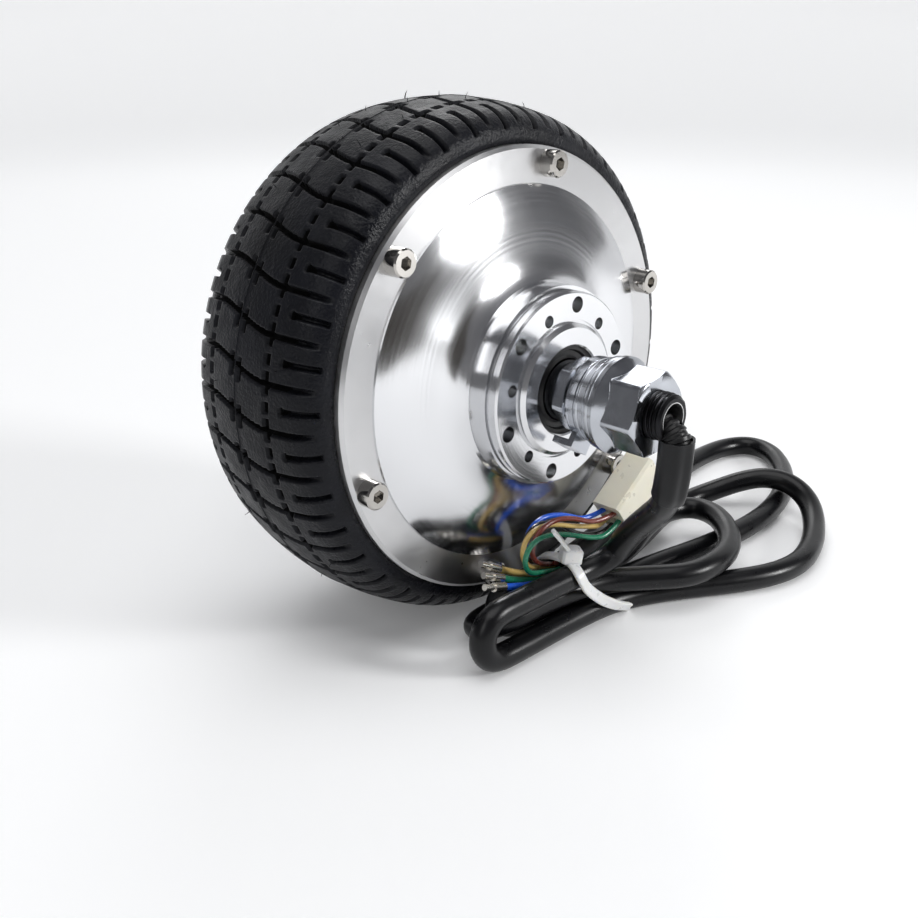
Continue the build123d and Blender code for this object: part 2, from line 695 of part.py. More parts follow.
if __name__ == "__main__":
    os.makedirs("parts", exist_ok=True)
    for nodes in (wheel_nodes(), side_nodes(), stator_nodes(), cable_nodes()):
        for name, shape in nodes.items():
            shape.label = name
            export_step(shape, f"parts/{name}.step")
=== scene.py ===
import json
from math import cos, pi, radians, sin, sqrt

import bpy
import numpy as np
from mathutils import Matrix, Vector


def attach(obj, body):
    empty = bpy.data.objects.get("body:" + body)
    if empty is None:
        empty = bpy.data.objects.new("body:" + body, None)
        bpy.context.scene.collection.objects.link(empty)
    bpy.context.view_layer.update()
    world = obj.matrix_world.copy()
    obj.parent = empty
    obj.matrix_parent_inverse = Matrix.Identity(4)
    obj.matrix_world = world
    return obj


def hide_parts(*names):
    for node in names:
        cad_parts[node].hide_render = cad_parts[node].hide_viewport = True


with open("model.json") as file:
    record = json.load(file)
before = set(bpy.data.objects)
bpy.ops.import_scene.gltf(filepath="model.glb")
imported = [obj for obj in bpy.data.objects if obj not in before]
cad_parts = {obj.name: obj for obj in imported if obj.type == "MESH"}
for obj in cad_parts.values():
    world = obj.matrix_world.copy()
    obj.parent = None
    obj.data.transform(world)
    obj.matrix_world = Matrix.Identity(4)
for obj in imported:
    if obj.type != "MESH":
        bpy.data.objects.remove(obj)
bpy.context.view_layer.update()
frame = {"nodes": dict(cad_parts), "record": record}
MM = 0.001
THREAD_PITCH, DISC_THREAD_PITCH = 1.25, 0.8     # of the M12 axle and the M5 disc holes, in millimetres
NODE_SLOT = {part["node"]: part["material_slot"] for part in frame["record"]["subparts"]}
scene = bpy.context.scene


# ---------------------------------------------------------------- camera

def make_camera():
    """The photograph's view: about 44 degrees round from the disc side, and 21 above the horizon."""
    data = bpy.data.cameras.new("camera")
    data.lens = 41.1
    data.sensor_width = 36.0
    data.clip_start, data.clip_end = 0.01, 50.0
    cam = bpy.data.objects.new("camera", data)
    cam.location = (-0.2001, -0.2120, 0.0804)
    cam.rotation_euler = (radians(90 - 21), 0, radians(-44))
    scene.collection.objects.link(cam)
    scene.camera = cam


make_camera()


# ---------------------------------------------------------------- materials

class Nodes:
    """Short names for building one material's nodes."""

    def __init__(self, name):
        self.mat = bpy.data.materials.new(name)
        self.mat.use_nodes = True
        self.tree = self.mat.node_tree
        self.shader = self.tree.nodes["Principled BSDF"]
        self.coords = self.add("ShaderNodeTexCoord").outputs["Object"]

    def add(self, kind, **values):
        node = self.tree.nodes.new(kind)
        for key, value in values.items():
            setattr(node, key, value)
        return node

    def join(self, a, b):
        self.tree.links.new(a, b)

    def xyz(self):
        """The object's three coordinates, one socket each."""
        split = self.add("ShaderNodeSeparateXYZ")
        self.join(self.coords, split.inputs[0])
        return split.outputs

    def noise(self, scale, detail=4.0, rough=0.55, vector=None):
        node = self.add("ShaderNodeTexNoise")
        node.inputs["Scale"].default_value = scale
        node.inputs["Detail"].default_value = detail
        node.inputs["Roughness"].default_value = rough
        self.join(vector or self.coords, node.inputs["Vector"])
        return node.outputs["Fac"]

    def ramp(self, fac, stops):
        """Grey or coloured stops at places from 0 to 1."""
        node = self.add("ShaderNodeValToRGB")
        ends = node.color_ramp.elements
        while len(ends) < len(stops):
            ends.new(0.5)
        for end, (place, value) in zip(ends, stops):
            end.position = place
            end.color = (value, value, value, 1) if isinstance(value, float) else (*value, 1)
        self.join(fac, node.inputs["Fac"])
        return node.outputs["Color"]

    def math(self, operation, a, b=None):
        node = self.add("ShaderNodeMath", operation=operation)
        for socket, value in zip(node.inputs, (a, b)):
            if isinstance(value, (int, float)):
                socket.default_value = value
            elif value is not None:
                self.join(value, socket)
        return node.outputs[0]

    def axle_radius_squared(self, x, z):
        """The square of the distance from the axle's line."""
        return self.math("ADD", self.math("MULTIPLY", x, x), self.math("MULTIPLY", z, z))

    def mix(self, fac, a, b):
        """Two colours or sockets, blended. Sockets 6 and 7 are the node's colours, and output 2 its result."""
        node = self.add("ShaderNodeMix", data_type="RGBA")
        for socket, value in zip((node.inputs[0], node.inputs[6], node.inputs[7]), (fac, a, b)):
            if isinstance(value, (int, float)):
                socket.default_value = value
            elif isinstance(value, tuple):
                socket.default_value = (*value, 1)
            else:
                self.join(value, socket)
        return node.outputs[2]

    def bump(self, height, strength, distance):
        node = self.add("ShaderNodeBump")
        node.inputs["Strength"].default_value = strength
        node.inputs["Distance"].default_value = distance
        self.join(height, node.inputs["Height"])
        return node.outputs[0]

    def set(self, **values):
        """Sets the shader's sockets; underscores stand for spaces."""
        for key, value in values.items():
            socket = self.shader.inputs[key.replace("_", " ")]
            if isinstance(value, (int, float)):
                socket.default_value = value
            elif isinstance(value, tuple):
                socket.default_value = (*value, 1) if len(value) == 3 and socket.type == "RGBA" else value
            else:
                self.join(value, socket)


def metal(name, colour, rough, grain=900.0, bump=0.02, spots=0.25, turned=0.0):
    """Bare or plated metal: patchy roughness, a fine grain, and turned metal's stretched highlights."""
    n = Nodes(name)
    darker = tuple(0.80 * c for c in colour)
    n.set(Base_Color=n.mix(n.ramp(n.noise(55, 5), [(0.35, 0.0), (0.75, 1.0)]), colour, darker), Metallic=1.0)
    low, high = rough * (1 - spots), rough * (1 + spots)
    n.set(Roughness=n.ramp(n.noise(140, 6), [(0.3, low), (0.7, high)]))
    n.set(Normal=n.bump(n.noise(grain, 3), bump, 0.0002))
    if turned:
        tangent = n.add("ShaderNodeTangent", direction_type="RADIAL", axis="Y")
        n.set(Anisotropic=turned, Anisotropic_Rotation=0.25, Tangent=tangent.outputs[0])
    return n


def plastic(name, colour, rough, grain=700.0, bump=0.03, lighter=1.35, specular=0.5, coat=0.0):
    """Plastic, rubber or paint: slightly uneven colour and gloss over a fine moulded grain."""
    n = Nodes(name)
    pale = tuple(min(1.0, lighter * c) for c in colour)
    n.set(Base_Color=n.mix(n.ramp(n.noise(90, 5), [(0.35, 0.0), (0.7, 1.0)]), colour, pale))
    n.set(Roughness=n.ramp(n.noise(220, 4), [(0.3, rough * 0.85), (0.7, min(1.0, rough * 1.15))]))
    n.set(Normal=n.bump(n.noise(grain, 4), bump, 0.0003), Specular_IOR_Level=specular)
    if coat:
        n.set(Coat_Weight=coat, Coat_Roughness=0.12)
    return n


def turned_cover():
    """Lathe-polished aluminium: fine rings round the axle that carry the reflections round with them."""
    dome, rim = (0.72, 0.725, 0.74), (0.60, 0.60, 0.605)
    hole_circle = (0.0190, 0.0250)      # radii that hold the disc holes' walls
    rim_start = 0.0506
    n = metal("polished_aluminium", dome, 0.15, 1600, 0.01, 0.18, 0.7)
    x, y, z = n.xyz()
    radius = n.math("SQRT", n.axle_radius_squared(x, z))
    from_axle = n.add("ShaderNodeCombineXYZ")
    n.join(radius, from_axle.inputs[0])
    rings = n.noise(1500, 5, 0.5, from_axle.outputs[0])
    height = n.math("ADD", rings, n.math("MULTIPLY", n.noise(300, 6), 0.15))
    walls = n.math("MULTIPLY", n.math("GREATER_THAN", radius, hole_circle[0]),
                   n.math("LESS_THAN", radius, hole_circle[1]))
    thread = n.math("PINGPONG", n.math("DIVIDE", y, DISC_THREAD_PITCH * MM), 0.5)
    height = n.math("ADD", height, n.math("MULTIPLY", n.math("MULTIPLY", thread, walls), 60.0))
    n.set(Normal=n.bump(height, 0.09, 0.00010))
    flat = n.math("GREATER_THAN", radius, rim_start)
    shade = n.ramp(rings, [(0.3, 0.14), (0.7, 0.20)])
    satin = n.ramp(n.noise(260, 5), [(0.3, 0.27), (0.7, 0.36)])
    n.set(Base_Color=n.mix(flat, dome, rim))
    n.set(Roughness=n.mix(flat, shade, satin))
    return n


def rubber_tyre():
    """Moulded tyre rubber: near black with a grey bloom, painted shade in the grooves, glossier on the
    sidewall.
    """
    n = Nodes("tyre_rubber")
    bloom = n.ramp(n.noise(38, 6, 0.6), [(0.35, 0.0), (0.75, 1.0)])
    crown_r, crown_drop = 0.0710, 6.86      # radius at the middle, and its fall with the distance squared
    groove_edge, sidewall_start, least_groove = 0.0172, 0.0185, 0.0009
    x, y, z = n.xyz()
    radius = n.math("SQRT", n.axle_radius_squared(x, z))
    crown = n.math("SUBTRACT", crown_r, n.math("MULTIPLY", n.math("MULTIPLY", y, y), crown_drop))
    below = n.math("GREATER_THAN", n.math("SUBTRACT", crown, radius), least_groove)
    across = n.math("ABSOLUTE", y)
    # Mask of the grooves: painted shade darkens them, and the same mask roughens them.
    painted_shade_groove_mask = n.math("MULTIPLY", below, n.math("LESS_THAN", across, groove_edge))
    face = n.mix(bloom, (0.0030, 0.0033, 0.0048), (0.0085, 0.0092, 0.0130))
    # Painted shade: the grooves get a near-black colour, darker than the rubber's face.
    n.set(Base_Color=n.mix(painted_shade_groove_mask, face, (0.0012, 0.0012, 0.0013)))
    dull = n.ramp(n.noise(160, 5), [(0.3, 0.30), (0.7, 0.54)])
    shiny = n.ramp(n.noise(90, 5), [(0.3, 0.22), (0.7, 0.36)])
    gloss = n.mix(n.math("GREATER_THAN", across, sidewall_start), dull, shiny)
    n.set(Roughness=n.math("MAXIMUM", gloss, n.math("MULTIPLY", painted_shade_groove_mask, 0.95)), Specular_IOR_Level=0.16)
    grain = n.math("ADD", n.noise(1300, 4), n.math("MULTIPLY", n.noise(210, 6), 1.6))
    n.set(Normal=n.bump(grain, 0.55, 0.0004))
    n.set(Sheen_Weight=0.02, Sheen_Roughness=0.5)
    return n


def nylon(name, colour, clear):
    """Translucent nylon with cloudy depth."""
    n = Nodes(name)
    cloud = n.ramp(n.noise(120, 4), [(0.3, 0.0), (0.7, 1.0)])
    n.set(Base_Color=n.mix(cloud, colour, tuple(0.93 * c for c in colour)))
    n.set(Roughness=n.ramp(n.noise(300, 3), [(0.3, 0.26), (0.7, 0.36)]), IOR=1.53)
    n.set(Transmission_Weight=clear, Subsurface_Weight=0.35, Subsurface_Radius=(0.004, 0.0035, 0.0025))
    n.shader.inputs["Subsurface Scale"].default_value = 0.6
    n.set(Normal=n.bump(n.noise(420, 2), 0.02, 0.0003))
    return n


def threaded_steel():
    """Blackened steel with the M12 thread drawn as fine waves along the axle's two ends, and a bright bore."""
    thread_start, thread_root, bore_r = 0.0418, 0.0058, 0.0042
    n = metal("black_steel", (0.075, 0.075, 0.08), 0.36, 1200, 0.04, 0.3)
    x, y, z = n.xyz()
    turn = n.math("DIVIDE", n.math("ARCTAN2", z, x), 2 * pi)
    wave = n.math("PINGPONG", n.math("ADD", n.math("DIVIDE", y, THREAD_PITCH * MM), turn), 0.5)
    ends = n.math("GREATER_THAN", n.math("ABSOLUTE", y), thread_start)
    r2 = n.axle_radius_squared(x, z)
    outside = n.math("GREATER_THAN", r2, thread_root ** 2)
    bore = n.math("MULTIPLY", n.math("LESS_THAN", r2, bore_r ** 2), n.math("LESS_THAN", y, 0.0))
    n.set(Base_Color=n.mix(bore, (0.022, 0.022, 0.024), (0.62, 0.62, 0.62)))
    height = n.math("MULTIPLY", n.math("MULTIPLY", wave, ends), outside)
    n.set(Normal=n.bump(height, 0.9, 0.0012))
    return n


# metal: name, colour, roughness, grain, bump, spots, turned
# plastic: name, colour, roughness, grain, bump, lighter, specular, coat
# nylon: name, colour, clearness
MATERIALS = {
    "tyre_rubber": rubber_tyre(),
    "polished_aluminium": turned_cover(),
    "cast_aluminium": metal("cast_aluminium", (0.62, 0.63, 0.64), 0.42, 500, 0.25),
    "steel": metal("steel", (0.60, 0.60, 0.60), 0.22, 900, 0.03, 0.25, 0.4),
    "magnet": metal("magnet", (0.62, 0.61, 0.58), 0.20),
    "black_steel": threaded_steel(),
    "lamination_steel": metal("lamination_steel", (0.30, 0.31, 0.33), 0.42, 1400, 0.1),
    "enamelled_copper": metal("enamelled_copper", (0.60, 0.24, 0.10), 0.26, 700, 0.3),
    "circuit_board": plastic("circuit_board", (0.02, 0.16, 0.07), 0.35, 500, 0.06, coat=0.5),
    "black_plastic": plastic("black_plastic", (0.0045, 0.0047, 0.0055), 0.38, 900, 0.10, 1.35, 0.3),
    "black_rubber": plastic("black_rubber", (0.004, 0.004, 0.0045), 0.40, 600, 0.10, 1.35, 0.35),
    "cable_jacket": plastic("cable_jacket", (0.0030, 0.0031, 0.0038), 0.30, 260, 0.05, 1.6, 0.30),
    "white_nylon": nylon("white_nylon", (0.88, 0.88, 0.86), 0.10),
    "natural_nylon": nylon("natural_nylon", (0.90, 0.86, 0.72), 0.15),
    "tinned_metal": metal("tinned_metal", (0.80, 0.77, 0.71), 0.22, 600, 0.12),
    "stainless_steel": metal("stainless_steel", (0.52, 0.50, 0.47), 0.14, 900, 0.05, 0.3),
    "zinc_plate": metal("zinc_plate", (0.52, 0.54, 0.58), 0.17, 800, 0.06, 0.35),
    "wire_blue": plastic("wire_blue", (0.012, 0.10, 0.62), 0.27, 500, 0.05, 1.2, 0.5, 0.3),
    "wire_yellow": plastic("wire_yellow", (0.60, 0.42, 0.14), 0.27, 500, 0.05, 1.2, 0.5, 0.3),
    "wire_green": plastic("wire_green", (0.012, 0.16, 0.085), 0.27, 500, 0.05, 1.4, 0.5, 0.3),
    "wire_red": plastic("wire_red", (0.16, 0.03, 0.02), 0.27, 500, 0.05, 1.2, 0.5, 0.3),
    "wire_black": plastic("wire_black", (0.02, 0.02, 0.021), 0.27, 500, 0.05, 1.4, 0.5, 0.3),
}


def dress_cad_nodes():
    """Gives each CAD node the material of the slot its record names."""
    for name, node in frame["nodes"].items():
        for socket in node.material_slots:
            socket.material = MATERIALS[NODE_SLOT[name]].mat


dress_cad_nodes()


# ---------------------------------------------------------------- piece helpers

def place(obj, body, slot, *replaced):
    """Puts a new piece in the scene on its body, in its material."""
    if not obj.users_collection:
        scene.collection.objects.link(obj)
    obj.data.materials.append(MATERIALS[slot].mat)
    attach(obj, body)
    if replaced:
        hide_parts(*replaced)


def mesh_object(name, points, faces, smooth=True):
    """A new object from points in metres, not yet in the scene."""
    mesh = bpy.data.meshes.new(name)
    mesh.from_pydata([tuple(p) for p in points], [], faces)
    mesh.validate()
    mesh.update()
    if smooth:
        mesh.shade_smooth()
    return bpy.data.objects.new(name, mesh)


def grid_faces(rows, columns, wrap_rows=False, wrap_columns=False):
    """Quads over a grid of points stored row by row."""
    faces = []
    for i in range(rows if wrap_rows else rows - 1):
        for j in range(columns if wrap_columns else columns - 1):
            a, b = i * columns + j, i * columns + (j + 1) % columns
            c, d = (i + 1) % rows * columns + (j + 1) % columns, (i + 1) % rows * columns + j
            faces.append((a, b, c, d))
    return faces


def spline_points(points, steps=6):
    """A smooth line through the given points."""
    p = [np.array(q, float) for q in points]
    ends = [2 * p[0] - p[1]] + p + [2 * p[-1] - p[-2]]
    line = []
    for a, b, c, d in zip(ends, ends[1:], ends[2:], ends[3:]):
        for k in range(steps):
            t = k / steps
            line.append(0.5 * (2 * b + (c - a) * t + (2 * a - 5 * b + 4 * c - d) * t ** 2
                               + (3 * b - a - 3 * c + d) * t ** 3))
    return np.array(line + [p[-1]])


def frames_along(line):
    """A tangent and two cross directions at each point of a line, without twist."""
    tangents = np.gradient(line, axis=0)
    tangents /= np.linalg.norm(tangents, axis=1)[:, None]
    side = np.cross(tangents[0], (0.3, 0.2, 0.9))
    result = []
    for t in tangents:
        side = side - t * side.dot(t)
        side /= np.linalg.norm(side)
        result.append((t, side, np.cross(t, side)))
    return result


# ---------------------------------------------------------------- cords

CABLE_DIAMETER, HALL_DIAMETER, PHASE_DIAMETER = 7.2 * MM, 1.5 * MM, 1.9 * MM


def cord_curve(name, points, diameter):
    """A round cord: a spline steered by the points of its route, given in millimetres."""
    curve = bpy.data.curves.new(name, "CURVE")
    curve.dimensions = "3D"
    curve.bevel_depth = 1       # so that each point's radius is the cord's own
    curve.bevel_resolution = 7
    curve.use_fill_caps = True
    line = curve.splines.new("NURBS")
    line.points.add(len(points) - 1)
    for spot, (x, y, z) in zip(line.points, points):
        spot.co = (x * MM, y * MM, z * MM, 1)
        spot.radius = diameter / 2
    line.order_u = 3
    line.use_endpoint_u = True
    line.resolution_u = 10
    obj = bpy.data.objects.new(name, curve)
    scene.collection.objects.link(obj)
    return obj


# The motor cable's route in millimetres, from the axle's end to the cut end of its jacket.
lead = [
    (0, -79.6, -5.1), (0.4, -79.2, -11.5), (1.6, -77.8, -18.5), (5, -73.8, -25), (9.4, -67.4, -31),
    (13, -60.6, -37.6), (15.3, -55, -44.2), (15.9, -51.2, -50.4),
]
left_fold_front = [
    (7.8, -47.6, -53.9), (-5, -47.3, -53.9), (-19.4, -47.3, -53.9), (-28.6, -47.3, -53.9),
    (-32.6, -47.3, -57.8), (-32.6, -47.4, -63.4), (-28.6, -47.6, -67.3), (-19.4, -47.7, -67.4),
    (-5, -47.5, -67.4), (7.4, -47.7, -67.3), (19.8, -48.7, -67.4),
]
middle_loop = [
    (32.1, -53.3, -67.3), (44.8, -60.2, -67.4), (57, -67.6, -67.4), (69.1, -73, -67.4), (82.1, -74.3, -67.4),
    (96.4, -70.3, -67.4), (110, -63.6, -66.4), (119.4, -56, -63.4), (122.3, -47.1, -60.2),
    (119.8, -38.6, -59.6), (114.5, -32.2, -61.4), (107.3, -26.2, -64.6), (96.9, -21.5, -67),
    (81.8, -22, -67.2), (62.2, -27.8, -67.2), (40.5, -32.7, -67.4), (20.5, -32.6, -67.2),
]
left_fold_back = [
    (5.3, -31.4, -67.4), (-6.8, -29.9, -67.4), (-15.3, -30.2, -67.2), (-22.0, -33.4, -65.8),
    (-23.2, -39.2, -63.2), (-17.8, -43.6, -60.8), (-7.9, -43.9, -60), (4.8, -44.9, -60.1), (17, -48.4, -60),
]
front_loop = [
    (27.6, -55.5, -60.3), (37.2, -62.7, -60.3), (48, -64.2, -59.9), (60.1, -61.4, -60.4),
    (71.3, -54.4, -60.3), (79.2, -44.3, -59.9), (79.9, -35.1, -60.2), (71.3, -30.7, -60.1),
    (56.8, -32.7, -59.9), (40.8, -38, -61.3), (25.6, -38.2, -60.8), (11.5, -35.9, -60.7),
]
left_fold_inner = [
    (0.6, -35.3, -60.2), (-6.8, -35, -58.5), (-12.8, -35.4, -58.2), (-15.6, -36, -60.9),
    (-15.6, -36.8, -64.6), (-12.8, -37.6, -67.3), (-6.2, -38.6, -67.3), (5.4, -40.1, -67.4),
    (19.4, -41.2, -67.3),
]
far_loop = [
    (34.5, -42.5, -67.1), (49.8, -44.2, -67.2), (64.1, -46.5, -67.3), (78.9, -48.1, -67.3),
    (94, -48.3, -67.3), (109.1, -46.7, -67.4), (124, -42.8, -67.4), (138.3, -36.3, -67.4),
    (151.9, -27, -67.4), (162.1, -16.1, -67.2), (163.2, -6.1, -67.1), (154.5, -0.2, -67.3),
    (140.3, 0.8, -67.4), (124.3, -1.1, -67.4), (106.8, -4.1, -67.3), (88.1, -8.6, -67.4),
    (69.4, -15, -67.3), (51.2, -24.9, -63), (35.9, -32.6, -56.1), (24.7, -36.3, -53.9), (15.3, -38.7, -54.2),
    (4.8, -39.7, -54.6),
]
motor_cable = cord_curve(
    "motor_cable",
    lead + left_fold_front + middle_loop + left_fold_back + front_loop + left_fold_inner + far_loop,
    CABLE_DIAMETER)
place(motor_cable, "stator", "cable_jacket", "cable_lead", "cable_hank")

HALL_ROUTES = {
    "blue": [(4.7, -36.1, -54.7), (-0.5, -35.6, -52.3), (-4.4, -35.5, -47.4), (-3, -35.5, -42),
             (3, -35.6, -39.6), (11, -36.5, -41.2), (18.6, -38.4, -45), (25.3, -39.55, -43.1)],
    "black": [(4.7, -37.4, -53.4), (-1.2, -37.3, -52), (-5.4, -37.3, -49.4), (-7, -37.3, -44.9),
              (-4.4, -37.3, -41), (1.2, -37.3, -40.2), (8.4, -37.4, -43), (14.2, -37.8, -47.6),
              (19.2, -38.7, -49.6), (25.4, -39.55, -50.8), (30.1, -39.55, -49.2)],
    "yellow": [(4.7, -38.6, -54.7), (-3, -38.8, -52.4), (-7.2, -38.9, -50.2), (-9.2, -38.9, -46.2),
               (-7.6, -38.9, -42), (-2.8, -38.9, -40), (4.6, -38.9, -41.4), (12, -39, -44.4),
               (19.6, -39.4, -46.8), (23.6, -39.55, -47.9), (27.7, -39.55, -46.15)],
    "red": [(4.7, -39.7, -53.3), (-2.2, -40.3, -51.6), (-7.4, -40.5, -46.8), (-5.4, -40.5, -40.8),
            (1.6, -40.6, -38.6), (9.6, -40.9, -40.4), (18.4, -42.4, -44.6), (25.3, -43.45, -43.1)],
    "green": [(4.7, -40.9, -54.7), (-4, -41.6, -52.6), (-9.8, -42, -50.5), (-11.7, -42.1, -46.5),
              (-9.8, -42.1, -42.5), (-4.4, -42.1, -41.05), (3, -42.1, -42.9), (10.5, -42.1, -45.9),
              (17.2, -42.8, -48.6), (22.8, -43.45, -49.2), (27.7, -43.45, -46.15)],
}
PHASE_ROUTES = {
    "yellow": [(11.5, -36.9, -56.6), (4.6, -36.7, -57.2), (-2.6, -36.4, -55.4), (-10.2, -36.2, -52.2),
               (-17.8, -36, -48)],
    "green": [(11.5, -38.6, -57.4), (4.6, -38.6, -57.9), (-2.6, -38.4, -56.6), (-10.4, -38, -53.9),
              (-18.4, -37.8, -50.2)],
    "blue": [(11.5, -40.3, -56.6), (4.6, -40.5, -57), (-3, -40.5, -56.4), (-11.2, -40.4, -54.6),
             (-20.2, -40.2, -51.6)],
}


def route_length(obj):
    """The length of a cord's own centre-line."""
    depth = obj.data.bevel_depth
    obj.data.bevel_depth = 0
    obj.data.use_fill_caps = False
    mesh = obj.evaluated_get(bpy.context.evaluated_depsgraph_get()).to_mesh()
    spots = [v.co.copy() for v in mesh.vertices]
    length = sum((a - b).length for a, b in zip(spots, spots[1:]))
    obj.data.bevel_depth = depth
    obj.data.use_fill_caps = True
    return length


def make_wires():
    """The hall wires to their connector and the phase wires to their terminals, made as round cords."""
    kinds = (("hall", HALL_ROUTES, HALL_DIAMETER, "connector", "hall_connector"),
             ("phase", PHASE_ROUTES, PHASE_DIAMETER, "fitting", "phase_terminals"))
    for kind, routes, diameter, far_end, end_piece in kinds:
        for colour, route in routes.items():
            wire = cord_curve(f"{kind}_lead_{colour}", route, diameter)
            place(wire, "stator", f"wire_{colour}", f"{kind}_wire_{colour}")
            bpy.context.view_layer.update()
            route_length(wire)


make_wires()


# ---------------------------------------------------------------- tyre

PITCHES, COLUMNS_PER_PITCH = 38, 34
TYRE_R, CROWN_EDGE, CROWN_EDGE_R = 71, 17.5, 68.9
TREAD_R = TYRE_R - 1        # where distances round the tread are measured
TYRE_PITCH = 2 * pi * TREAD_R / PITCHES
TYRE_SECTION = [(CROWN_EDGE, CROWN_EDGE_R), (20.2, 67.9), (22.3, 66.6), (23.9, 64.9), (24.7, 63.2),
                (25.0, 61.5), (25.0, 60.15), (24.3, 60.15)]


def crown_radius(station):
    """Radius of the crowned tread at a station, on the arc from its middle to its edge."""
    sag = TYRE_R - CROWN_EDGE_R
    curve = (sag ** 2 + CROWN_EDGE ** 2) / (2 * sag)
    return TYRE_R - curve + sqrt(curve ** 2 - station ** 2)


def tyre_outline():
    """Station, radius and distance from the middle along the section, from one bead to the other."""
    crown = [(s, crown_radius(s)) for s in np.linspace(0, CROWN_EDGE, 48)[:-1]]
    shoulder = spline_points([(12, crown_radius(12))] + TYRE_SECTION[:6], 9)[9:]
    half = np.vstack([crown, shoulder, TYRE_SECTION[6:]])
    steps = np.linalg.norm(np.diff(half, axis=0), axis=1)
    half = np.column_stack([half, np.concatenate([[0], np.cumsum(steps)])])
    return np.vstack([half[::-1] * (-1, 1, 1), half[1:]])


def groove(across, along, width, depth):
    """Depth of a flat-bottomed groove with sloped walls, from distances across and along its line."""
    wall = 0.3
    side = np.clip((width / 2 - np.abs(across)) / wall + 0.5, 0, 1)
    end = np.clip(along / wall + 0.5, 0, 1)
    return depth * side * end


def tread_depth(station, reach, arc):
    """Depth of the tread, from the station, the distance from the middle, and the distance round the crown."""
    groove_end, slot_start, slot_end = 25.6, 16.0, 26.6     # distances from the middle
    depth = np.zeros_like(station)
    mirrored = np.sign(station + 1e-9)
    row = 11.5 * mirrored

    def sway(at):
        """How far the long grooves bend round the tyre at a station."""
        return -2.7 * np.sin(pi / 2 * np.clip(at / 12.5, -1, 1))

    middle = 0 * row
    dashes = (      # station, start and end along the tread, width
        (middle + 1.5, -3.4, 2.2, 1.3), (middle - 1.5, -2.2, 3.4, 1.3),
        (row, -3.0, 2.5, 1.5), (row, 4.3, 7.0, 1.5))
    for shift in (-2, -1, 0, 1, 2):
        u = arc - shift * TYRE_PITCH
        fade = np.clip((26.0 - reach) / 5, 0.15, 1)
        long_groove = groove(u - sway(station), groove_end - reach, 1.3, 2.7) * fade
        within = np.minimum(reach - slot_start, slot_end - reach)
        bulb = 1.35 + 0.8 * np.clip(1 - np.abs(reach - 16.7) / 0.8, 0, 1)
        shoulder_slot = groove(u - TYRE_PITCH / 2 - sway(row), within, bulb, 2.3)
        depth = np.maximum(depth, np.maximum(long_groove, shoulder_slot))
        for at, start, end, width in dashes:
            along = (sway(at) - u) * mirrored
            within = np.minimum(along - start, end - along)
            depth = np.maximum(depth, groove(station - at, within, width, 2.4))
    return depth


def make_tyre():
    """The tyre's skin as a grid of points, pushed in along its normals by the depth of the tread."""
    outline = tyre_outline()
    columns = PITCHES * COLUMNS_PER_PITCH
    angles = np.arange(columns) / columns * 2 * pi
    step = np.gradient(outline[:, :2], axis=0)
    normal = np.stack([-step[:, 1], step[:, 0]], 1)
    normal /= np.linalg.norm(normal, axis=1)[:, None]
    station, radius, reach = (np.repeat(outline[:, k][:, None], columns, 1) for k in range(3))
    arc = np.repeat((angles * TREAD_R % TYRE_PITCH)[None], len(outline), 0)
    depth = tread_depth(station, reach, arc)
    radius = radius - depth * np.abs(normal[:, 1])[:, None]
    station = station - depth * normal[:, 0][:, None]
    points = np.stack([radius * np.cos(angles), station, radius * np.sin(angles)], 2).reshape(-1, 3) * MM
    tyre = mesh_object("tread_tyre", points, grid_faces(len(outline), columns, wrap_columns=True))
    place(tyre, "wheel", "tyre_rubber", "tyre")


make_tyre()


def make_flash():
    """Thin moulding line round the middle of the tread, with the rubber hairs left by the vents."""
    rng = np.random.default_rng(7)
    points = []
    sections, hairs, rings, corners = 720, 46, 5, 5
    for i in range(sections):
        a = 2 * pi * i / sections
        for station, height in ((-0.16, -0.07), (0.0, 0.14 + 0.05 * rng.random()), (0.16, -0.07)):
            r = TYRE_R + height
            points.append((r * cos(a) * MM, station * MM, r * sin(a) * MM))
    faces = grid_faces(sections, 3, wrap_rows=True)
    for _ in range(hairs):
        a, station = 2 * pi * rng.random(), rng.choice([0.0, 0.0, 9.0, -9.0, 15.0, -15.0]) + rng.normal(0, 0.3)
        length, lean, thick = 0.7 + 1.5 * rng.random(), rng.normal(0, 0.6), 0.13
        root = crown_radius(min(17, abs(station))) - 0.1
        first = len(points)
        for k in range(rings):
            t = k / (rings - 1)
            r, bent = root + length * t, a + lean * t * t * length / root
            size = thick * (1 - 0.55 * t)
            for q in range(corners):
                w = 2 * pi * q / corners
                points.append(((r * cos(bent) - size * cos(w) * sin(bent)) * MM, (station + size * sin(w)) * MM,
                               (r * sin(bent) + size * cos(w) * cos(bent)) * MM))
        faces += [tuple(first + v for v in f) for f in grid_faces(rings, corners, wrap_columns=True)]
        faces.append(tuple(first + (rings - 1) * corners + q for q in range(corners)))
    flash = mesh_object("tread_flash", points, faces)
    place(flash, "wheel", "tyre_rubber", "tyre")


make_flash()


# ---------------------------------------------------------------- nuts and washers

def turned_mesh(name, rows, side, columns=180):
    """A skin round the axle from rows of a station and a radius, which may change with the angle."""
    angles = np.arange(columns) / columns * 2 * pi
    points = []
    for station, radius in rows:
        reach = radius(angles) if callable(radius) else np.full(columns, radius)
        points += [(r * cos(a) * MM, side * station * MM, r * sin(a) * MM) for r, a in zip(reach, angles)]
    turned = mesh_object(name, points, grid_faces(len(rows), columns, wrap_rows=True, wrap_columns=True))
    turned.data.set_sharp_from_angle(angle=radians(32))
    return turned


